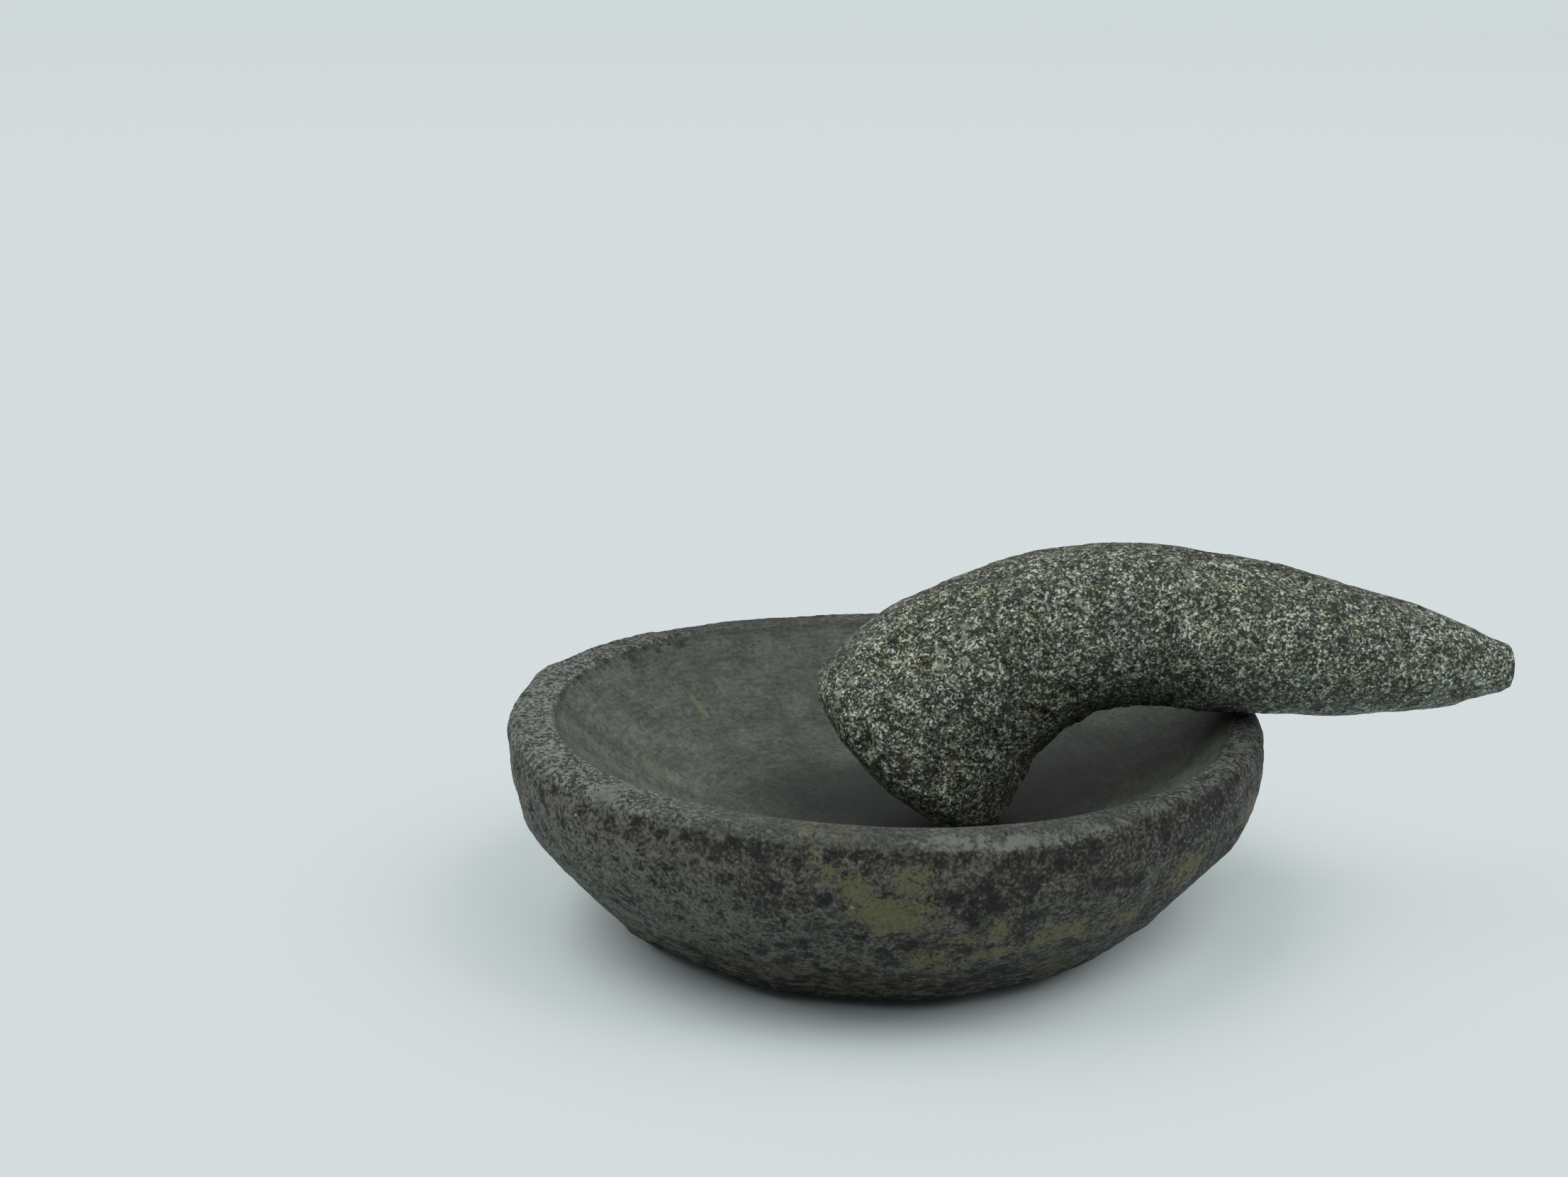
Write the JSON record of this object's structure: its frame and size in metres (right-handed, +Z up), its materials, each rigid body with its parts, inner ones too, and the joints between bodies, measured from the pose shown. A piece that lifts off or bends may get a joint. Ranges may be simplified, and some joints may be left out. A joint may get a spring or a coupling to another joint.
{
  "type": "mortar and pestle",
  "caption": "Shallow round stone mortar with a loose horn-shaped stone pestle resting head-down in the bowl and on the rim.",
  "frame": {"origin": "centre of the mortar's flat underside, on the surface it stands on", "axes": "+Z up out of the bowl; +X the way the pestle's handle points over the rim; -Y the side that faces the viewer"},
  "size_m": [0.2646, 0.2006, 0.0988],
  "materials": {
    "mortar_stone": "dark volcanic stone, satin where worn, mottled outside",
    "pestle_stone": "coarse speckled grey stone, matte"
  },
  "bodies": {
    "mortar": {"mortar": "mortar_stone"},
    "pestle": {"pestle": "pestle_stone"}
  },
  "joints": [
    {"name": "pestle_lift", "type": "slide", "parent": "mortar", "child": "pestle", "axis": [0, 0, 1], "range_m": [0, 0.15]}
  ]
}
